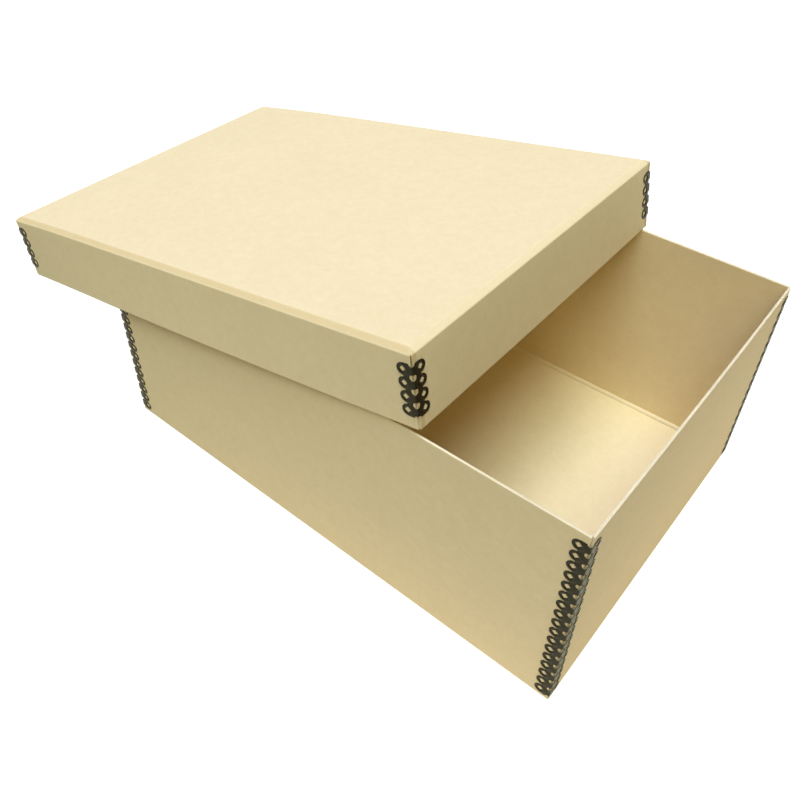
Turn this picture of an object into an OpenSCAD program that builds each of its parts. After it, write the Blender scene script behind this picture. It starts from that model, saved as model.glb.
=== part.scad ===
// Archival storage box with metal corner edges: an open tray and a shallow lid
// that fits over it. Each is folded from one blank of solid board, and its four
// corners are held by bent steel stays with prongs that bite into the board.
// The lid lies askew on the tray: slid to the left, with its right end tipped up.
// Millimetres. Origin at the centre of the tray's underside, +Z up, +X along
// the long walls towards the uncovered end, -Y towards the front long wall.

/* [Tray] */
// Outside length of the tray
tray_l = 366; // [300:1:420]
// Outside width of the tray
tray_w = 250; // [200:1:300]
// Outside height of the tray
tray_h = 152.4; // [120:0.1:180]

/* [Lid] */
// Height of the lid's skirt, top panel included
lid_h = 48.2; // [42:0.1:60]
// Free space between the tray's walls and the lid's skirt, on each side
lid_play = 2.2; // [2.2:0.1:4]

/* [Board] */
// Thickness of the board
board_t = 1.5; // [1.3:0.1:1.6]
// Radius of the outside of a fold
fold_r = 1.9; // [1.7:0.1:2.4]
// Radius of the bead that the crease raises along the tray's floor
tray_bead_r = 2.4; // [1.8:0.1:3]
// Radius of the bead inside the lid
lid_bead_r = 0.8; // [0.5:0.1:0.9]
// Distance from the lid's side to the crease where its edge starts to slope down
score_in = 3.7; // [3.6:0.1:5]
// How far the lid's edge slopes down from that crease to its side
edge_drop = 2.3; // [1.5:0.1:2.3]

/* [Stays] */
// Thickness of the steel strip
stay_t = 0.35; // [0.25:0.05:0.45]
// Spacing of the rings along a stay
stay_pitch = 8.467; // [8:0.001:9]
// Distance from the bend to the middle of a ring
ring_in = 6.2; // [5.6:0.1:6.6]
// Outside radius of a ring
ring_r = 3.5; // [3.2:0.1:3.8]
// Radius of the round ends of the hole across the bend, between two rings
bend_hole_r = 1.9; // [1.6:0.1:2.4]
// Inside radius of the bend
bend_r = 0.5; // [0.3:0.1:0.8]
// How deep a prong goes into the board
prong_depth = 1.1; // [0.6:0.1:1.2]
// How far the tray's stays sit below the middle of its walls
tray_stay_drop = 0.6; // [0:0.1:2]

/* [Lid as it lies] */
// How far the lid is slid to the left along the tray
lid_slid = 100; // [90:1:105]
// How far the lid is off the tray's middle line, towards the front
lid_aside = 0.5; // [0:0.1:0.8]
// Angle by which the lid's right end is tipped up
lid_tilt = 10.4; // [10.3:0.1:12]
// Angle by which the lid is turned about the vertical
lid_turn = 0.7; // [0:0.1:0.7]
// Angle by which the lid's front side is up
lid_lean = 0.6; // [0:0.1:0.6]
// Free space left where the lid rests on the tray's rim
rest_gap = 0.2; // [0.1:0.1:0.5]

/* [Hidden] */
$fn = 48;

BOARD_COLOR = "#d3c094";
STAY_COLOR = "#262422";

// Outside size of the lid, which clears the tray's walls by lid_play all round
lid_l = tray_l + 2 * (lid_play + board_t);
lid_w = tray_w + 2 * (lid_play + board_t);

// Open slit between the ends of two walls at a corner
corner_slit = 0.25;
// Width of the strip of floor that is drawn with each fold
strip_w = 12;
// Width of a stay's solid band, from the bend to the row of rings
band_w = 5.9;
// Distance from the middle of a stay's last ring to its end
stay_end = 3.8;
// Least distance from a wall's edge to the middle of a ring
ring_margin = 8;
// Hole in a ring: a square that stands on its corner, with rounded tips
hole_side = 2.5;
hole_tip_r = 1.55;
// Prong: its width along the stay, its thickness, and its distance from the bend
prong_w = 1.2;
prong_t = 0.6;
prong_in = ring_in + 1.6;

// Direction of the lid's own vertical as it lies
lid_up = [
    -cos(lid_turn) * cos(lid_lean) * sin(lid_tilt) - sin(lid_turn) * sin(lid_lean),
    -sin(lid_turn) * cos(lid_lean) * sin(lid_tilt) + cos(lid_turn) * sin(lid_lean),
    cos(lid_lean) * cos(lid_tilt)
];
// Height of the lid's skirt that rests its panel on the rim of the tray's left wall
lid_z = max([for (side = [-1, 1]) lid_height_over(-tray_l / 2, side * tray_w / 2)]);

// Height of the lid's skirt that puts its panel on the rim at x, y
function lid_height_over(x, y) =
    tray_h + rest_gap
    - (lid_h - board_t - lid_up[0] * (x + lid_slid) - lid_up[1] * (y + lid_aside)) / lid_up[2];

// Number of rings that fit on a wall
function ring_count(wall_h) = floor((wall_h - 2 * ring_margin) / stay_pitch) + 1;

// Height of the lowest ring of a row that is centred on a wall
function first_ring(wall_h) = (wall_h - (ring_count(wall_h) - 1) * stay_pitch) / 2;

// Quarter of a disc, between directions -X and +Y
module quarter(r) {
    intersection() {
        circle(r = r);
        translate([-r, 0]) square(r);
    }
}

// Cross-section of a wall, its fold and a strip of floor; the wall's outside is x = 0.
// The fold is round, or slopes down from a crease to the wall
module fold_section(wall_h, bead_r, sloped) {
    translate([-board_t, board_t]) quarter(bead_r);
    if (sloped) {
        polygon([
            [-strip_w, 0], [-score_in, 0], [0, edge_drop], [0, wall_h],
            [-board_t, wall_h], [-board_t, board_t], [-strip_w, board_t]
        ]);
    } else {
        translate([-board_t, fold_r]) square([board_t, wall_h - fold_r]);
        translate([-strip_w, 0]) square([strip_w - fold_r, board_t]);
        translate([-fold_r, fold_r]) rotate(180) quarter(fold_r);
    }
}

// One wall with its fold, on the front side of a blank that is w wide
module folded_wall(run, w, wall_h, bead_r, sloped) {
    translate([run / 2, -w / 2, 0]) rotate([90, 0, -90])
        linear_extrude(run) fold_section(wall_h, bead_r, sloped);
}

// Open box folded from one blank, floor down, with open slits at its corners
module folded_blank(l, w, wall_h, bead_r, sloped) {
    inset = 2 * (board_t + corner_slit);
    floor_in = strip_w - 1;
    for (side = [0, 180]) {
        rotate(side) folded_wall(l - inset, w, wall_h, bead_r, sloped);
        rotate(side + 90) folded_wall(w - inset, l, wall_h, bead_r, sloped);
    }
    translate([floor_in - l / 2, floor_in - w / 2, 0])
        cube([l - 2 * floor_in, w - 2 * floor_in, board_t]);
}

// Put what is drawn at the front right corner on any corner
module at_corner(right, front) {
    mirror([right ? 0 : 1, 0, 0]) mirror([0, front ? 0 : 1, 0]) children();
}

// Lay a flat shape on both faces of the front right corner: X runs away from the
// corner, Y up and Z out of the face
module on_both_faces(l, w) {
    translate([l / 2, -w / 2, 0]) rotate([90, 0, 0]) mirror([1, 0, 0]) children();
    translate([l / 2, -w / 2, 0]) rotate([90, 0, 90]) children();
}

// Outline of one leg of a stay with n rings, the lowest at height 0
module leg_outline(n) {
    difference() {
        union() {
            translate([bend_r, -stay_end])
                square([band_w - bend_r, (n - 1) * stay_pitch + 2 * stay_end]);
            for (i = [0:n - 1]) translate([ring_in, i * stay_pitch]) circle(r = ring_r);
        }
        for (i = [0:n - 1]) translate([ring_in, i * stay_pitch]) intersection() {
            circle(r = hole_tip_r);
            rotate(45) square(hole_side, center = true);
        }
        for (i = [0:n]) translate([bend_r, (i - 0.5) * stay_pitch]) circle(r = bend_hole_r);
    }
}

// Prongs of one leg, from the face of the strip into the board
module leg_prongs(n) {
    for (i = [0:n - 1]) translate([prong_in, i * stay_pitch - prong_w / 2, -prong_depth])
        cube([prong_t, prong_w, prong_depth + stay_t]);
}

// Bent strip between two holes of the bend, for each ring
module bend(n, l, w) {
    for (i = [0:n - 1]) {
        translate([l / 2 - bend_r, bend_r - w / 2, i * stay_pitch - stay_pitch / 2 + bend_hole_r])
            linear_extrude(stay_pitch - 2 * bend_hole_r) rotate(180) difference() {
                quarter(bend_r + stay_t);
                circle(r = bend_r);
            }
    }
}

// Stay at the front right corner of a box, with its lowest ring at height z
module corner_stay(l, w, wall_h, z) {
    n = ring_count(wall_h);
    translate([0, 0, z]) {
        on_both_faces(l, w) {
            linear_extrude(stay_t) leg_outline(n);
            leg_prongs(n);
        }
        bend(n, l, w);
    }
}

// Pockets that the prongs of all four stays make in a board
module prong_pockets(l, w, wall_h, z) {
    for (right = [true, false]) for (front = [true, false]) at_corner(right, front)
        translate([0, 0, z]) on_both_faces(l, w) leg_prongs(ring_count(wall_h));
}

// Turn and raise the lid's own frame, whose origin is the middle of its open side
module as_lid_lies() {
    translate([-lid_slid, -lid_aside, lid_z]) rotate([-lid_lean, -lid_tilt, lid_turn]) children();
}

module tray_board() {
    color(BOARD_COLOR) difference() {
        folded_blank(tray_l, tray_w, tray_h, tray_bead_r, false);
        prong_pockets(tray_l, tray_w, tray_h, first_ring(tray_h) - tray_stay_drop);
    }
}

module lid_board() {
    color(BOARD_COLOR) as_lid_lies() difference() {
        translate([0, 0, lid_h]) mirror([0, 0, 1]) folded_blank(lid_l, lid_w, lid_h, lid_bead_r, true);
        prong_pockets(lid_l, lid_w, lid_h, first_ring(lid_h));
    }
}

module tray_stay(right, front) {
    color(STAY_COLOR) at_corner(right, front)
        corner_stay(tray_l, tray_w, tray_h, first_ring(tray_h) - tray_stay_drop);
}

module lid_stay(right, front) {
    color(STAY_COLOR) as_lid_lies() at_corner(right, front)
        corner_stay(lid_l, lid_w, lid_h, first_ring(lid_h));
}

tray_board();
lid_board();
tray_stay(true, true);  // tray_stay_front_right
tray_stay(false, true);  // tray_stay_front_left
tray_stay(true, false);  // tray_stay_back_right
tray_stay(false, false);  // tray_stay_back_left
lid_stay(true, true);  // lid_stay_front_right
lid_stay(false, true);  // lid_stay_front_left
lid_stay(true, false);  // lid_stay_back_right
lid_stay(false, false);  // lid_stay_back_left
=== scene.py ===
"""Archival storage box with metal corner stays: its looks, built around the CAD frame.

Metres, in the frame's axes: +X along the box's long walls, -Y its front, +Z up. Lengths that
read better in millimetres are written times MM.
"""

import math
from functools import partial

import bpy
import numpy as np
from mathutils import Matrix, Vector


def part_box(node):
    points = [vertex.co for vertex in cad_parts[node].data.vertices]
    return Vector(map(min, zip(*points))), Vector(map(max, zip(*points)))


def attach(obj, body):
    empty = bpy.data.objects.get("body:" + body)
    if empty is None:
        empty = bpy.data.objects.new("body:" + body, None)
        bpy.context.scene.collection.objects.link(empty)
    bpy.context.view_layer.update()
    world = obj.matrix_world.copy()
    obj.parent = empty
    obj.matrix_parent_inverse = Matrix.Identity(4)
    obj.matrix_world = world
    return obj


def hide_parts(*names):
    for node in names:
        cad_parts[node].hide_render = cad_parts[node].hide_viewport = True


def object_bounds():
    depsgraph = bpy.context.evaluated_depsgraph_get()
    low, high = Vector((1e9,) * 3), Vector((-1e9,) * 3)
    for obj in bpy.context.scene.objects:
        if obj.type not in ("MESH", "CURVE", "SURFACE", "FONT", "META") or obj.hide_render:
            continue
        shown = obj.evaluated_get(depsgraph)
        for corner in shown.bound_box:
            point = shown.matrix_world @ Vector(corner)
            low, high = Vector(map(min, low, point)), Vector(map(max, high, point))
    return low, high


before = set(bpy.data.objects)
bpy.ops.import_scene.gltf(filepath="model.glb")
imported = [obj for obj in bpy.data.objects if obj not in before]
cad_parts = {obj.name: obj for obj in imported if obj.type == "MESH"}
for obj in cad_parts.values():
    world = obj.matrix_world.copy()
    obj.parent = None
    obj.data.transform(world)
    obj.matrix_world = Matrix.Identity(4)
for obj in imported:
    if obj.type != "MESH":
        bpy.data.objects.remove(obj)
cad_low, cad_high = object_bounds()

MM = 0.001

# ---- Sizes of the boards ----

# Thickness of the board, as the CAD source has it
BOARD_T = 1.5 * MM
# Radius of the bead that the crease raises on the inside of a fold
TRAY_BEAD_R = 2.4 * MM
LID_BEAD_R = 0.8 * MM
# A fold's outside: its rounding, then where the slope before it starts, in from the side, and
# how far that slope drops
TRAY_FOLD = (1.9 * MM, 0.0, 0.0)
LID_FOLD = (1.2 * MM, 3.7 * MM, 2.3 * MM)
# Half of the width over which the crease at the start of the slope turns
CREASE_HALF = 0.7 * MM
# How much painted shade the slope on the lid's short sides gets, as a share of its long sides, and
# how much the first lines of the rounding below it get
SHORT_SLOPE_SHADE = 0.2
ROUNDING_SLOPE_SHADE = (0.75, 0.5, 0.25, 0.1)
# How far a wall's end stays from the corner: on its outside, on its inside, and on its outside
# just above the fold
CORNER_GAP = 1.2 * MM
INNER_GAP = 1.38 * MM
FOLD_GAP = 0.25 * MM
# Height over which the slit between two walls opens, above the bead and above the fold
END_RISE = 6 * MM
FOLD_RISE = 1 * MM
# Share of that height at which the gap just above the fold starts to widen
WIDEN_FROM = 0.3
# Rounding of the board's cut edges, and how far it has gone at the line before the last
CUT_ROUND = 0.22 * MM
CUT_SHARE = 0.3

# Strip along each fold that has lines of its own, and the spacing of the lines elsewhere
EDGE_IN = 10 * MM
LINE_GAP = 4 * MM
# Lines across that strip, how they crowd towards the fold, and lines across the fold
PANEL_LINES = 18
CROWDING = 0.75
ARC_LINES = 8
# Distance from a free edge to the wall's last line, and the lines that make up a wall's end
LIP_LINE = 0.6 * MM
END_LINES = 3
# The wall's line that the paler mark of a fold is on, partly worn paper and partly a painted
# highlight, and how many lines it fades over
FOLD_MARK_LINE = 4
FOLD_MARK_LINES = 5

# How far the middle of a wall's free edge stands out, long walls and then short walls, and how
# the bow grows with the height
TRAY_BOW = (1.2 * MM, 0.5 * MM)
LID_BOW = (1.9 * MM, 0.5 * MM)
BOW_POWER = 1.3
# Unevenness of the walls: its depth, the number of its waves, and how fast the longest runs
# along a wall and up it, in radians per metre
UNEVEN = 0.25 * MM
WAVES = 3
WAVE_ALONG = 9
WAVE_UP = 11
TRAY_SEED = 11
LID_SEED = 23
# How far the lid's left end sags, and how far its front right corner stands up
LID_SAG = 2.0 * MM
LID_RISE = 1.9 * MM

# ---- Sizes of the steel stays, as the CAD source has them ----

STAY_T = 0.35 * MM
STAY_PITCH = 8.467 * MM
STAY_END = 3.8 * MM
RING_IN = 6.2 * MM
RING_R = 3.5 * MM
RING_MARGIN = 8 * MM
BAND_W = 5.9 * MM
BEND_HOLE_R = 1.9 * MM
BEND_R = 0.5 * MM
HOLE_HALF = 2.5 / math.sqrt(2) * MM
HOLE_TIP_R = 1.55 * MM
PRONG_IN = RING_IN + 1.6 * MM
PRONG_W = 1.2 * MM
PRONG_T = 0.6 * MM
PRONG_DEPTH = 1.1 * MM
TRAY_STAY_DROP = 0.6 * MM

# What only the looks have. The rounding of the strip's edges: how far in it starts, and as
# shares of that how far the front drops and the back comes up. Then a prong's tip, as a share
# of its width
STRIP_ROUND = 0.1 * MM
FRONT_ROUND = 0.8
BACK_ROUND = 0.3
PRONG_TIP = 0.44
# The rings stand up round their holes, and sink towards them: how much, the distances from the
# ring's middle over which they rise and fall again, and how far the sunk part reaches
RING_RISE = 0.16 * MM
RISE_IN = 2.7 * MM
FALL_FROM = RING_R - 0.4 * MM
FALL_TO = RING_R + 0.5 * MM
HOLE_SINK = 0.22 * MM
SINK_OUT = 0.9 * MM
# Shares at which the lines round a ring stand, between its hole and its edge and beyond it
RING_LINES = (0.2, 0.4, 0.6, 0.8, 1)
BAND_LINES = (0.33, 0.67, 1)

# Points on half a ring's outline: round the ring, along the strip's end, round half the hole
# on the bend, and down the bend
RING_POINTS = 11
END_POINTS = 6
HOLE_POINTS = 7
BEND_POINTS = 4

# Points closer than this are one, and edges that turn by more than this angle look sharp
WELD = 0.002 * MM
SHARP = math.radians(38)
# Directions agree roughly when the cosine of the angle between them is over this
ROUGHLY = 0.9

# ---- Light, table and camera ----

# Wide lamps overhead: their width in degrees, then for each how far it leans to the right and
# to the front in degrees, and its light on a white surface that faces it
LAMP_WIDTH = 40
LAMPS = (
    ("key", 6, 15, (0.802, 0.962, 1.030)),
    ("left", -12, 0, (0.259, 0.239, 0.480)),
    ("side", 35, 35, (0.200, 0.164, 0.074)),
)
# The light of the room, and what is seen behind the table
ROOM_LIGHT = (0.030, 0.028, 0.024, 1.0)
BACKDROP = (1.0, 1.0, 1.0, 1.0)
# Light that the table gives, by the box's right end and behind its left end: the middle of
# each patch, the distances over which it fades, and its colour
TABLE_GLOW = (
    ((0.24, 0.115, 0.0), (0.22, 0.58), (0.632, 0.540, 0.500)),
    ((-0.48, 0.20, 0.0), (0.22, 0.36), (0.760, 0.720, 0.640)),
)
# What the table looks like when gloss mirrors it, and when the camera sees it
TABLE_SHEEN = (0.350, 0.305, 0.165)
TABLE_WHITE = (0.88, 0.88, 0.88)
# Half of the table's side, its squares along a side, and how far it is below the box
TABLE_HALF = 6.0
TABLE_STEPS = 12
TABLE_GAP = 0.1 * MM

# The camera: its place, its direction seen from the box and its roll in degrees, its lens and
# sensor in millimetres, how far its picture is shifted, and the distances that it sees
CAMERA_PLACE = (253.84 * MM, -363.476 * MM, 463.506 * MM)
CAMERA_AZIMUTH = 40.557
CAMERA_ELEVATION = 41.195
CAMERA_ROLL = -0.230
CAMERA_LENS = 37.42
CAMERA_SENSOR = 36
CAMERA_SHIFT = (0.0383, -0.0576)
CAMERA_REACH = (0.01, 50)


# ---- Shapes: sheets with two faces and a closed edge ----

def smooth(t):
    """Smooth step from 0 to 1."""
    t = np.clip(t, 0.0, 1.0)
    return t * t * (3 - 2 * t)


def add_object(name, data):
    """New object in the scene."""
    obj = bpy.data.objects.new(name, data)
    bpy.context.scene.collection.objects.link(obj)
    return obj


def closed_sheet(name, outer, inner, cells, place, marks, edge_material=1):
    """Mesh object of a sheet: cells are faces of point numbers, seen from outside. Points in
    the same place are joined, and every free edge is closed between the two faces."""
    keys, kept = {}, []
    index = np.empty(len(outer), int)
    spots = np.round(outer / WELD).astype(int)
    for number in np.unique(cells):
        key = tuple(spots[number])
        if key not in keys:
            keys[key] = len(kept)
            kept.append(number)
        index[number] = keys[key]
    count = len(kept)
    faces, edges = [], {}
    for cell in cells:
        loop = [index[p] for p in cell]
        loop = [p for k, p in enumerate(loop) if p != loop[k - 1]]
        if len(set(loop)) < 3:
            continue
        faces += [loop, [p + count for p in reversed(loop)]]
        for p, q in zip(loop, loop[1:] + loop[:1]):
            edges[(p, q)] = True
    free = [(p, q) for p, q in edges if (q, p) not in edges]
    materials = [0] * len(faces) + [edge_material] * len(free)
    faces += [[q, p, p + count, q + count] for p, q in free]
    mesh = bpy.data.meshes.new(name)
    mesh.from_pydata(place(np.concatenate([outer[kept], inner[kept]])), [], faces)
    mesh.polygons.foreach_set("material_index", materials)
    mesh.shade_smooth()
    mesh.set_sharp_from_angle(angle=SHARP)
    for mark, values in marks.items():
        both = np.tile(values[kept], 2).astype(np.float32)
        mesh.attributes.new(mark, "FLOAT", "POINT").data.foreach_set("value", both)
    mesh.validate()
    return add_object(name, mesh)


# ---- The folded boards ----

def panel_profile(fold_in, slope, slope_in):
    """Lines on the panel's outer face next to a fold: distance from the wall's outside and
    height of each. Also how far each is across the strip, as a share, and past the crease."""
    share = np.linspace(0, 1, PANEL_LINES)
    out_in = -EDGE_IN + (EDGE_IN - fold_in) * share ** CROWDING
    past = out_in + slope_in
    turning = np.clip(past + CREASE_HALF, 0, 2 * CREASE_HALF) ** 2 / (4 * CREASE_HALF)
    out_up = math.tan(slope) * (turning + np.maximum(past - CREASE_HALF, 0))
    return np.stack([out_in, out_up], 1), share, past


def wall_profile(height, start, side):
    """Lines up a wall's face from where its fold ends, and over its rounded free edge. side is
    -1 on the inner face, whose edge is rounded the other way."""
    top = height - CUT_ROUND
    rise = np.linspace(0, 1, 1 + round(height / LINE_GAP))[1:-1]
    rise = np.append(rise, (1 - LIP_LINE / height, 1.0))
    face_in = 0.0 if side > 0 else -BOARD_T
    wall = np.stack([0 * rise + face_in, start + (top - start) * rise], 1)
    cut = np.array([(CUT_SHARE, 1 - CUT_SHARE), (1.0, 1.0)]) * CUT_ROUND
    lip = np.stack([face_in - side * cut[:, 0], top + cut[:, 1]], 1)
    return np.concatenate([wall, lip])


def fold_lines(height, bead_r, fold):
    """Lines across a flap, from the panel to the free edge. Each line has the distance from
    the wall's outside and the height, on the outer and on the inner face. Returns those, how
    much painted shade each line gets on the slope and the rounding, and where the same lines
    stand along a neighbouring wall."""
    fold_r, slope_in, slope_drop = fold
    slope = math.atan2(slope_drop, slope_in)
    tangent = fold_r * math.tan(math.pi / 4 - slope / 2)
    panel_out, share, past = panel_profile(tangent * math.cos(slope), slope, slope_in)
    in_in = -EDGE_IN + (EDGE_IN - BOARD_T - bead_r) * share
    panel_in = np.stack([in_in, np.full(PANEL_LINES, BOARD_T)], 1)

    turn = np.linspace(slope, math.pi / 2, ARC_LINES + 1)[1:]
    arc_up = slope_drop + tangent - fold_r * np.cos(turn)
    arc_out = np.stack([fold_r * (np.sin(turn) - 1), arc_up], 1)
    turn = np.radians(np.linspace(0, 90, ARC_LINES + 1)[1:])
    arc_in = np.stack([-BOARD_T - bead_r * np.cos(turn), BOARD_T + bead_r * np.sin(turn)], 1)

    outer = np.concatenate([panel_out, arc_out, wall_profile(height, arc_out[-1, 1], 1)])
    inner = np.concatenate([panel_in, arc_in, wall_profile(height, arc_in[-1, 1], -1)])
    # Painted shade: the slope past the crease is darker, and so are the first lines of the
    # rounding
    slope_shade = np.zeros(len(outer))
    if slope > 0:
        slope_shade[:PANEL_LINES] = smooth(past / (2 * CREASE_HALF) + 0.5)
        slope_shade[PANEL_LINES:PANEL_LINES + len(ROUNDING_SLOPE_SHADE)] = ROUNDING_SLOPE_SHADE
    end = -CORNER_GAP
    to_end = np.linspace(0, 1, PANEL_LINES - 2)
    along = -EDGE_IN + (EDGE_IN + end - 2 * CUT_ROUND) * to_end
    along = np.concatenate([along, [end - CUT_SHARE * CUT_ROUND, end]])
    return outer, inner, slope_shade, along


def stations(length, lines):
    """The lines across a whole blank, from one free edge to the other, along one axis. Each
    line has its place and height on each face, its place along a neighbouring wall and how far
    that is past the corner, whether it is on a wall and its number up that wall, its number
    from a neighbouring wall's end, and how much painted shade it gets. fold_up is the height
    of the outer face where the fold starts."""
    outer, inner, slope_shade, along = lines
    half = length / 2
    plain = np.linspace(-1, 1, round((length - 2 * EDGE_IN) / LINE_GAP) + 1)[1:-1]
    middle = plain * (half - EDGE_IN)
    number = np.arange(len(outer))
    wall = number >= PANEL_LINES

    def both_sides(flap, centre):
        return np.concatenate([flap[::-1], np.full(len(middle), centre), flap])

    own = {}
    for face, shape, panel_up in (("outer", outer, 0.0), ("inner", inner, BOARD_T)):
        flap = half + shape[:, 0]
        own[face] = np.concatenate([-flap[::-1], middle, flap])
        own[face + "_up"] = both_sides(shape[:, 1], panel_up)
    reach = np.concatenate([half + along, np.zeros(len(outer) - PANEL_LINES)])
    own["along"] = np.concatenate([-reach[::-1], middle, reach])
    own["reach"] = np.abs(own["along"]) - half
    own["wall"] = both_sides(wall, False)
    own["wall_line"] = both_sides(number - PANEL_LINES + 1.0, 0)
    from_end = np.where(wall, PANEL_LINES, PANEL_LINES - 1 - number)
    own["from_end"] = both_sides(from_end, PANEL_LINES)
    own["slope_shade"] = both_sides(slope_shade, 0)
    own["fold_up"] = outer[PANEL_LINES - 1, 1]
    return own


def waviness(along, up, seed):
    """Gentle unevenness of a wall's face, between -1 and 1."""
    draw = np.random.default_rng(seed)
    total = 0 * along
    for wave in range(1, WAVES + 1):
        phase = draw.uniform(0, 2 * math.pi, 2)
        run = np.sin(along * WAVE_ALONG * wave + phase[0])
        climb = np.cos(up * WAVE_UP * wave + phase[1])
        total = total + run * climb / wave
    return total / 2


def wall_spots(face, own, line, risen):
    """Where the lines stand along a neighbouring wall. At its foot they are as on the panel,
    and above it they draw in until the wall ends short of the corner."""
    foot = own[face][line]
    if face == "inner":
        grown = smooth(risen / END_RISE)
        shift = (CORNER_GAP - INNER_GAP) * (own["from_end"][line] < END_LINES)
    else:
        grown = smooth(risen / FOLD_RISE)
        near_end = np.clip((own["reach"][line] + EDGE_IN) / EDGE_IN, 0, 1)
        shift = (CORNER_GAP - FOLD_GAP) * near_end * (1 - smooth(risen / END_RISE - WIDEN_FROM))
    target = own["along"][line] + np.sign(foot) * shift
    return foot + (target - foot) * grown


def board_face(face, grid, height, bows, seed):
    """Points of one face of a folded board. grid has, for each axis, its stations, each
    point's line, whether that line is on a wall, and the board's size."""
    on_x, i, wall_x, _ = grid[0]
    on_y, j, wall_y, _ = grid[1]
    outward = 1 if face == "outer" else -1
    up_x, up_y = on_x[face + "_up"][i], on_y[face + "_up"][j]
    up = np.where(wall_x, up_x, np.where(wall_y, up_y, np.maximum(up_x, up_y)))
    risen = up - (BOARD_T if face == "inner" else on_x["fold_up"])
    spot = []
    for (own, line, is_wall, _), (_, _, other_wall, _) in (grid, grid[::-1]):
        stands = wall_spots(face, own, line, risen)
        spot.append(np.where(other_wall & ~is_wall, stands, own[face][line]))
    # Rounded ends of the walls: the faces close in on each other at the last lines
    for axis, (is_wall, other, line) in enumerate(((wall_x, on_y, j), (wall_y, on_x, i))):
        last = other["from_end"][line]
        close = np.where(last == 0, 1.0, np.where(last == 1, CUT_SHARE, 0.0)) * CUT_ROUND
        inward = -outward * np.sign(spot[axis]) * close * is_wall * smooth(risen / END_RISE)
        spot[axis] = spot[axis] + inward
    # Bow and unevenness, none at the fold and the corners and most at the free edge
    lift = np.clip(up / height, 0, 1) ** BOW_POWER
    before = list(spot)
    for axis in (0, 1):
        along, run = before[1 - axis], grid[1 - axis][3]
        bulge = np.clip((1 - (2 * along / run) ** 2) * lift, 0, 1)
        depth = bows[1 - axis] + waviness(along, up, seed + 2 * axis) * UNEVEN
        spot[axis] = spot[axis] + grid[axis][2] * np.sign(spot[axis]) * bulge * depth
    return np.stack([*spot, up], 1)


def folded_board(name, length, width, height, bead_r, fold, bows, place, seed):
    """A box folded from one blank, floor down, with bowed walls and rounded cut edges."""
    lines = fold_lines(height, bead_r, fold)
    on_x, on_y = stations(length, lines), stations(width, lines)
    rows, columns = len(on_x["wall"]), len(on_y["wall"])
    i, j = (g.ravel() for g in np.meshgrid(np.arange(rows), np.arange(columns), indexing="ij"))
    wall_x, wall_y = on_x["wall"][i], on_y["wall"][j]
    grid = ((on_x, i, wall_x, length), (on_y, j, wall_y, width))
    outer, inner = (board_face(face, grid, height, bows, seed) for face in ("outer", "inner"))
    number = np.arange(rows * columns).reshape(rows, columns)
    there = ~(on_x["wall"][:, None] & on_y["wall"][None, :])
    cells = []
    for a in range(rows - 1):
        for b in range(columns - 1):
            if there[a:a + 2, b:b + 2].all():
                near, far = number[a, b:b + 2], number[a + 1, b:b + 2]
                cells.append((near[0], near[1], far[1], far[0]))
    # Paler mark round the middle of each fold: partly worn paper, partly a painted highlight
    off_fold = [np.abs(own["wall_line"][line] - FOLD_MARK_LINE) for own, line, _, _ in grid]
    crease = (wall_x | wall_y) * smooth(1 - np.minimum(*off_fold) / FOLD_MARK_LINES)
    # Painted shade on the lid's slope, weaker on its short sides
    slope_shade = np.maximum(on_y["slope_shade"][j], SHORT_SLOPE_SHADE * on_x["slope_shade"][i])
    return closed_sheet(name, outer, inner, cells, place, {"crease": crease, "slope_shade": slope_shade})


# ---- The steel stays ----

# What a stretch of a ring's outline is: joined to the next piece of strip, cut, or cut only at
# the end of the strip
JOINED, CUT, END = 0, 1, 2


def cell_outline(up_end):
    """Half outline of one ring's share of a leg, as points round the ring's middle: away from
    the bend, along the ring, over the notch, to the bend. Also says what each stretch is."""
    meet = math.acos((BAND_W - RING_IN) / RING_R)
    angles = np.linspace(0, meet, RING_POINTS)
    ring = [(RING_R * math.cos(a), RING_R * math.sin(a), CUT) for a in angles]
    foot = ring[-1][1]
    notch = [(BAND_W - RING_IN, foot + (up_end - foot) * s, CUT) for s in (0.5, 1)]
    hole_up = STAY_PITCH / 2
    hole_start = BEND_R + math.sqrt(BEND_HOLE_R ** 2 - (hole_up - up_end) ** 2)
    across = np.linspace(BAND_W, hole_start, END_POINTS)[1:]
    end = [(u - RING_IN, up_end, END) for u in across]
    turn_start = math.atan2(hole_up - up_end, hole_start - BEND_R)
    turns = np.linspace(turn_start, math.pi / 2, HOLE_POINTS)[1:]
    arc = [(BEND_R + BEND_HOLE_R * math.cos(a) - RING_IN, hole_up - BEND_HOLE_R * math.sin(a), CUT)
           for a in turns]
    bend_up = hole_up - BEND_HOLE_R
    downs = np.linspace(0, 1, BEND_POINTS)
    bend = [(-RING_IN, bend_up * (1 - s), JOINED if s else CUT) for s in downs]
    return ring + notch + end + arc + bend


def hole_radius(angle):
    """Distance from a ring's middle to the edge of its hole."""
    lozenge = HOLE_HALF / (np.abs(np.cos(angle)) + np.abs(np.sin(angle)))
    return np.minimum(lozenge, HOLE_TIP_R)


def ring_relief(radii, hole):
    """Height of a ring's face: raised midway, sunk round the hole."""
    rising = smooth((radii - hole) / (RISE_IN - hole))
    falling = smooth((FALL_TO - radii) / (FALL_TO - FALL_FROM))
    sunk = 1 - smooth((radii - hole) / SINK_OUT)
    return RING_RISE * rising * falling - HOLE_SINK * sunk


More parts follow.
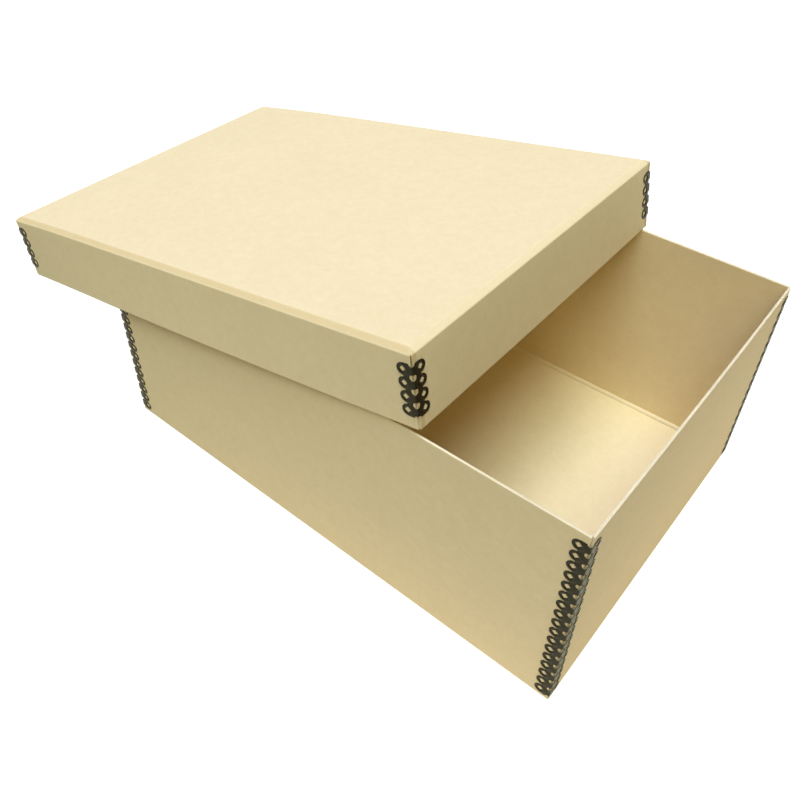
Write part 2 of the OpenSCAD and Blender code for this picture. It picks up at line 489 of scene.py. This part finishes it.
def ring_cell(low_end, high_end):
    """Points (across from the bend, up, relief, edge) and faces of one ring's share of a leg.
    low_end and high_end tell whether the strip is cut there."""
    sides = []
    for is_end, sign in ((high_end, 1), (low_end, -1)):
        line = cell_outline(STAY_END if is_end else STAY_PITCH / 2)
        sides.append([(u, v * sign, JOINED if kind == END and not is_end else kind)
                      for u, v, kind in line])
    outline = sides[0] + sides[1][-2:0:-1]
    u, v, kind = (np.array(c, float) for c in zip(*outline))
    angle, reach = np.arctan2(v, u), np.hypot(u, v)
    hole = hole_radius(angle)
    first, rim = hole + STRIP_ROUND, RING_R - STRIP_ROUND
    inside = [hole, first, *(first + (rim - first) * s for s in RING_LINES)]
    inside.append(np.full(len(u), RING_R))
    near_edge = np.maximum(reach - STRIP_ROUND, RING_R)
    outside = [*(RING_R + (near_edge - RING_R) * s for s in BAND_LINES), reach]
    radii = np.stack(inside + outside)
    on_ring = np.isclose(reach, RING_R)

    edge = np.zeros(radii.shape)
    edge[0] = 1
    edge[-1] = kind > JOINED
    edge[len(inside) - 1] = on_ring
    total, width = radii.shape
    number = np.arange(total * width).reshape(total, width)
    cells = []
    for ring in range(total - 1):
        for k in range(width):
            after = (k + 1) % width
            if ring >= len(inside) - 1 and on_ring[k] and on_ring[after]:
                continue
            near, far = number[ring], number[ring + 1]
            cells.append((near[k], far[k], far[after], near[after]))
    across, up = radii * np.cos(angle), radii * np.sin(angle)
    columns = (across + RING_IN, up, ring_relief(radii, hole), edge)
    return np.stack([c.ravel() for c in columns], 1), cells


def on_corner(u, v, out, length, width, right_leg):
    """Place of a point of a stay at the front right corner: u from the bend along the face,
    v up, out from the face. The strip turns round the corner between u = 0 and the bend."""
    turn = np.clip(1 - u / BEND_R, 0, 1) * math.pi / 4
    flat = np.maximum(u - BEND_R, 0)
    away = BEND_R + out
    along = flat - away * np.sin(turn)
    off = away * np.cos(turn) - BEND_R
    if right_leg:
        x, y = length / 2 + off, -width / 2 + BEND_R + along
    else:
        x, y = length / 2 - BEND_R - along, -width / 2 - off
    return np.stack([x, y, v], 1)


def strip_part(low_end, high_end, up):
    """One ring's share of a leg, its ring at height up. Returns its outer and its inner face's
    points (distance from the bend, height, distance from the wall), its faces and cut edges."""
    shape, faces = ring_cell(low_end, high_end)
    u, v, relief, edge = shape.T
    outer = (u, v + up, STAY_T + relief - edge * STRIP_ROUND * FRONT_ROUND)
    inner = (u, v + up, edge * STRIP_ROUND * BACK_ROUND)
    return outer, inner, faces, edge


def prong_part(up):
    """A prong at height up: a short tapered tongue from the strip into the board. Returns the
    same as strip_part does."""
    u = PRONG_IN + np.array([0, 0, 1, 1]) * PRONG_T
    half = np.array([-1, 1, 1, -1]) * PRONG_W / 2
    outer = (u, up + half, np.full(4, STAY_T / 2))
    inner = (u, up + half * PRONG_TIP, np.full(4, -PRONG_DEPTH))
    return outer, inner, [(3, 2, 1, 0)], np.zeros(4)


def corner_stay(name, length, width, height, drop, right, front, place):
    """A bent strip with rings, holes and prongs, on one corner of a box."""
    count = int((height - 2 * RING_MARGIN) / STAY_PITCH) + 1
    first = (height - (count - 1) * STAY_PITCH) / 2 - drop
    ups = [first + n * STAY_PITCH for n in range(count)]
    to_corner = np.array([1 if right else -1, 1 if front else -1, 1])
    outer, inner, cells, worn, base = [], [], [], [], 0
    for right_leg in (False, True):
        parts = [strip_part(n == 0, n == count - 1, up) for n, up in enumerate(ups)]
        parts += [prong_part(up) for up in ups]
        turned = right_leg == (right == front)
        for part_outer, part_inner, faces, edge in parts:
            outer.append(on_corner(*part_outer, length, width, right_leg) * to_corner)
            inner.append(on_corner(*part_inner, length, width, right_leg) * to_corner)
            cells += [tuple(p + base for p in (f if turned else f[::-1])) for f in faces]
            worn.append(edge)
            base += len(edge)
    marks = {"edge": np.concatenate(worn)}
    return closed_sheet(name, np.concatenate(outer), np.concatenate(inner), cells, place, marks,
                        edge_material=0)


# ---- Materials ----

class Nodes:
    """A material's node tree, with short calls to add nodes and join them."""

    def __init__(self, name):
        self.material = bpy.data.materials.new(name)
        self.material.use_nodes = True
        self.tree = self.material.node_tree
        self.shader = self.tree.nodes["Principled BSDF"]
        self.place = self.add("ShaderNodeTexCoord").outputs["Object"]

    def add(self, kind, **settings):
        """New node, with its settings."""
        node = self.tree.nodes.new(kind)
        for key, value in settings.items():
            setattr(node, key, value)
        return node

    def join(self, source, target):
        """Source is a socket, or a number or colour that is set on the target itself."""
        if isinstance(source, (int, float)):
            target.default_value = source
        elif isinstance(source, tuple):
            target.default_value = (*source, 1.0)
        else:
            self.tree.links.new(source, target)

    def noise(self, size, detail=4, rough=0.6, stretch=(1, 1, 1), warp=0.0):
        """Noise between 0 and 1 whose lumps are about size metres across."""
        mapping = self.add("ShaderNodeMapping")
        mapping.inputs["Scale"].default_value = [s / size for s in stretch]
        self.join(self.place, mapping.inputs["Vector"])
        node = self.add("ShaderNodeTexNoise")
        self.join(mapping.outputs["Vector"], node.inputs["Vector"])
        for socket, value in (
            ("Scale", 1.0), ("Detail", detail), ("Roughness", rough), ("Distortion", warp)
        ):
            self.join(value, node.inputs[socket])
        return node.outputs["Fac"]

    def spread(self, value, low, high, from_low=0.3, from_high=0.7):
        """A value taken from one range to another. Most noise lies between 0.3 and 0.7."""
        node = self.add("ShaderNodeMapRange")
        for socket, source in (
            ("Value", value), ("From Min", from_low), ("From Max", from_high),
            ("To Min", low), ("To Max", high),
        ):
            self.join(source, node.inputs[socket])
        return node.outputs["Result"]

    def mark(self, name):
        """A mark that the piece's mesh has on its points."""
        return self.add("ShaderNodeAttribute", attribute_name=name).outputs["Fac"]

    def times(self, first, second):
        """One value times another."""
        node = self.add("ShaderNodeMath", operation="MULTIPLY")
        self.join(first, node.inputs[0])
        self.join(second, node.inputs[1])
        return node.outputs["Value"]

    def blend(self, share, first, second):
        """One colour turned into another by share; a colour is a tuple or a socket."""
        node = self.add("ShaderNodeMix", data_type="RGBA")
        self.join(share, node.inputs["Factor"])
        self.join(first, node.inputs["A"])
        self.join(second, node.inputs["B"])
        return node.outputs["Result"]

    def bump(self, height, depth, strength, under=None):
        """Relief of about depth metres, over another relief if one is given."""
        node = self.add("ShaderNodeBump")
        for socket, source in (("Strength", strength), ("Distance", depth), ("Height", height)):
            self.join(source, node.inputs[socket])
        if under is not None:
            self.join(under, node.inputs["Normal"])
        return node.outputs["Normal"]

    def finish(self, **sources):
        """Joins or sets the shader's sockets, named with _ for a space."""
        for socket, source in sources.items():
            self.join(source, self.shader.inputs[socket.replace("_", " ")])
        return self.material


def board_paper():
    """Tan paper that lines the board: cloudy pulp, short fibres and a faint tooth. It is paler
    along the folds, partly worn and partly a painted highlight, and browner on the slope of the
    lid, which is painted shade."""
    n = Nodes("board_paper")
    tan, light_tan, mottled = (0.844, 0.672, 0.371), (0.871, 0.696, 0.391), (0.790, 0.619, 0.332)
    fibre, speck = (0.945, 0.798, 0.527), (0.581, 0.434, 0.221)
    folded, rubbed = (0.905, 0.756, 0.493), (0.675, 0.508, 0.245)
    clouds = n.noise(55 * MM, detail=3, warp=0.6)
    mottle = n.noise(7 * MM, detail=5, rough=0.65, warp=0.4)
    fibres = n.noise(2.6 * MM, detail=4, rough=0.7, stretch=(0.55, 1, 1), warp=1.6)
    specks = n.noise(1.1 * MM, detail=2, rough=0.5)
    colour = n.blend(n.spread(clouds, 0, 1), tan, light_tan)
    colour = n.blend(n.spread(mottle, 0, 0.55), colour, mottled)
    colour = n.blend(n.spread(fibres, 0, 0.26, 0.45, 0.75), colour, fibre)
    colour = n.blend(n.spread(specks, 0, 0.30, 0.66, 0.76), colour, speck)
    # Paler along the folds: partly worn paper, partly a painted highlight
    colour = n.blend(n.times(n.mark("crease"), 0.22), colour, folded)
    # Painted shade: browner on the lid's slope by the fold
    colour = n.blend(n.times(n.mark("slope_shade"), n.spread(mottle, 1.0, 0.8)), colour, rubbed)
    tooth = n.bump(specks, 0.03 * MM, 0.5)
    pulp = n.bump(fibres, 0.045 * MM, 0.5, tooth)
    return n.finish(Base_Color=colour, Roughness=n.spread(mottle, 0.56, 0.70),
                    Specular_IOR_Level=0.25, Normal=n.bump(clouds, 0.5 * MM, 0.35, pulp))


def board_core():
    """The board's cut edge: pale plies laid together, torn a little by the knife."""
    n = Nodes("board_core")
    torn = n.noise(1.2 * MM, detail=5, rough=0.7, warp=0.8)
    plies = n.noise(6 * MM, detail=3, stretch=(0.3, 0.3, 6))
    colour = n.blend(n.spread(torn, 0, 1), (0.74, 0.62, 0.40), (0.84, 0.73, 0.50))
    colour = n.blend(n.spread(plies, 0, 0.35), colour, (0.58, 0.46, 0.27))
    return n.finish(Base_Color=colour, Roughness=n.spread(torn, 0.75, 0.92),
                    Specular_IOR_Level=0.2, Normal=n.bump(torn, 0.25 * MM, 0.8))


def black_lacquer():
    """Black lacquer baked on steel: glossy with a slight peel, thin and brownish on edges."""
    n = Nodes("black_lacquer")
    black, scuffed, thin = (0.009, 0.0072, 0.0030), (0.016, 0.0128, 0.0058), (0.034, 0.028, 0.016)
    peel = n.noise(1.6 * MM, detail=3, rough=0.5)
    scuffs = n.noise(4 * MM, detail=6, rough=0.75, warp=1.5)
    colour = n.blend(n.spread(scuffs, 0, 1), black, scuffed)
    worn = n.times(n.mark("edge"), n.spread(scuffs, 0.0, 0.5, 0.45, 0.7))
    colour = n.blend(worn, colour, thin)
    return n.finish(Base_Color=colour, Roughness=n.spread(scuffs, 0.14, 0.27),
                    Specular_IOR_Level=0.32, Specular_Tint=(1.0, 0.90, 0.62),
                    Normal=n.bump(peel, 0.04 * MM, 0.4))


def pale_floor():
    """White table that looks evenly bright. The glow that falls on the box comes from patches
    of it, and gloss mirrors a darker table."""
    n = Nodes("pale_floor")
    faint = n.noise(250 * MM, detail=3)
    colour = n.blend(n.spread(faint, 0, 1), (0.296, 0.296, 0.240), (0.304, 0.304, 0.247))
    glow = (0.0, 0.0, 0.0)
    for middle, reach, light in TABLE_GLOW:
        away = n.add("ShaderNodeVectorMath", operation="DISTANCE")
        n.join(n.place, away.inputs[0])
        away.inputs[1].default_value = middle
        glow = n.blend(n.spread(away.outputs["Value"], 1, 0, *reach), glow, light)
    path = n.add("ShaderNodeLightPath").outputs
    glow = n.blend(path["Is Glossy Ray"], glow, TABLE_SHEEN)
    glow = n.blend(path["Is Camera Ray"], glow, TABLE_WHITE)
    return n.finish(Base_Color=colour, Roughness=n.spread(faint, 0.65, 0.75),
                    Specular_IOR_Level=0.1, Emission_Color=glow, Emission_Strength=1.0)


# ---- The object's pieces ----

def face_normal(node, towards):
    """Normal of the largest face of a CAD node that looks roughly towards a direction."""
    faces = [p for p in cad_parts[node].data.polygons if p.normal.dot(towards) > ROUGHLY]
    return max(faces, key=lambda p: p.area).normal.normalized()


def own_frame(node):
    """Matrix of a board's own axes and middle, and its size along them."""
    up = face_normal(node, Vector((0, 0, 1)))
    front = -face_normal(node, Vector((0, -1, 0)))
    across = front.cross(up).normalized()
    axes = Matrix((across, up.cross(across), up))
    places = [axes @ v.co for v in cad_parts[node].data.vertices]
    low = Vector(min(p[k] for p in places) for k in range(3))
    high = Vector(max(p[k] for p in places) for k in range(3))
    middle = (low + high) / 2
    middle.z = low.z
    return Matrix.Translation(axes.transposed() @ middle) @ axes.transposed().to_4x4(), high - low


def placed(points, matrix, flexed):
    """Points of a piece where they lie. The lid's board gives way: the part that stands out
    past the tray sags, and its front right corner stands up a little."""
    turned = points @ np.array(matrix.to_3x3()).T + np.array(matrix.translation)
    if flexed:
        low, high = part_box("tray_board")
        past, far = low[0] - turned[:, 0], low[0] - cad_low[0]
        right = np.maximum(-past / (high[0] - low[0] - far), 0)
        front = np.clip((high[1] - turned[:, 1]) / (high[1] - low[1]), 0, 1)
        turned[:, 2] += LID_RISE * right * front - LID_SAG * np.clip(past / far, 0, 1) ** 2
    return turned


def finish_piece(piece, materials, body, node):
    """Gives a piece its materials, and says what it rides on and which CAD node it replaces."""
    for material in materials:
        piece.data.materials.append(material)
    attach(piece, body)
    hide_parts(node)


def build_body(body, shape, drop, seed, materials):
    """The tray or the lid: a folded board and the four stays on its corners. shape is its
    bead's radius, its fold and its bows."""
    paper, core, lacquer = materials
    node, on_lid = body + "_board", body == "lid"
    stands, size = own_frame(node)
    lies = stands
    if on_lid:
        # The lid's blank is folded floor down as well, and turned over
        lies = stands @ Matrix.Translation((0, 0, size.z)) @ Matrix.Rotation(math.pi, 4, "X")
    lay_board = partial(placed, matrix=lies, flexed=on_lid)
    lay_stay = partial(placed, matrix=stands, flexed=on_lid)
    board = folded_board("folded_" + body, *size, *shape, lay_board, seed)
    finish_piece(board, (paper, core), body, node)
    for front in (True, False):
        for right in (True, False):
            corner = f"{'front' if front else 'back'}_{'right' if right else 'left'}"
            name = f"{body}_ringed_stay_{corner}"
            stay = corner_stay(name, *size, drop, right, front, lay_stay)
            finish_piece(stay, (lacquer,), body, f"{body}_stay_{corner}")


def build_box():
    """Both bodies, the tray first."""
    materials = board_paper(), board_core(), black_lacquer()
    tray = (TRAY_BEAD_R, TRAY_FOLD, TRAY_BOW)
    lid = (LID_BEAD_R, LID_FOLD, LID_BOW)
    build_body("tray", tray, TRAY_STAY_DROP, TRAY_SEED, materials)
    build_body("lid", lid, 0.0, LID_SEED, materials)


# ---- Floor, light and camera ----

def build_floor():
    """A table top under the box, in squares."""
    line = np.linspace(-TABLE_HALF, TABLE_HALF, TABLE_STEPS + 1)
    points = [(x, y, cad_low.z - TABLE_GAP) for x in line for y in line]
    row = len(line)
    corners = [a * row + b for a in range(TABLE_STEPS) for b in range(TABLE_STEPS)]
    mesh = bpy.data.meshes.new("floor")
    mesh.from_pydata(points, [], [(c, c + row, c + row + 1, c + 1) for c in corners])
    mesh.materials.append(pale_floor())
    add_object("floor", mesh)


def build_lamps():
    """Wide round lamps overhead."""
    for name, right, front, light in LAMPS:
        lamp = bpy.data.lights.new(name, "SUN")
        lamp.angle = math.radians(LAMP_WIDTH)
        lamp.energy = math.pi * max(light)
        lamp.color = [c / max(light) for c in light]
        away = Vector((math.tan(math.radians(right)), -math.tan(math.radians(front)), 1))
        add_object(name, lamp).rotation_euler = away.to_track_quat("Z", "Y").to_euler()


def build_room():
    """A dim room whose background is seen as white, and plain colours in the picture."""
    world = bpy.data.worlds.new("studio")
    world.use_nodes = True
    tree = world.node_tree
    colour = tree.nodes.new("ShaderNodeMix")
    colour.data_type = "RGBA"
    colour.inputs["A"].default_value = ROOM_LIGHT
    colour.inputs["B"].default_value = BACKDROP
    seen = tree.nodes.new("ShaderNodeLightPath").outputs["Is Camera Ray"]
    tree.links.new(seen, colour.inputs["Factor"])
    tree.links.new(colour.outputs["Result"], tree.nodes["Background"].inputs["Color"])
    bpy.context.scene.world = world
    bpy.context.scene.view_settings.view_transform = "Standard"


def build_camera():
    """Above the front right corner, looking down at the box."""
    azimuth, elevation = math.radians(CAMERA_AZIMUTH), math.radians(CAMERA_ELEVATION)
    back = Vector((math.sin(azimuth) * math.cos(elevation),
                   -math.cos(azimuth) * math.cos(elevation), math.sin(elevation)))
    level = Vector((math.cos(azimuth), math.sin(azimuth), 0))
    right = Matrix.Rotation(math.radians(CAMERA_ROLL), 3, back) @ level
    turn = Matrix((right, back.cross(right), back)).transposed()
    camera = bpy.data.cameras.new("camera")
    camera.lens, camera.sensor_width = CAMERA_LENS, CAMERA_SENSOR
    camera.shift_x, camera.shift_y = CAMERA_SHIFT
    camera.clip_start, camera.clip_end = CAMERA_REACH
    obj = add_object("camera", camera)
    obj.matrix_world = Matrix.Translation(CAMERA_PLACE) @ turn.to_4x4()
    bpy.context.scene.camera = obj


build_box()
build_floor()
build_lamps()
build_room()
build_camera()
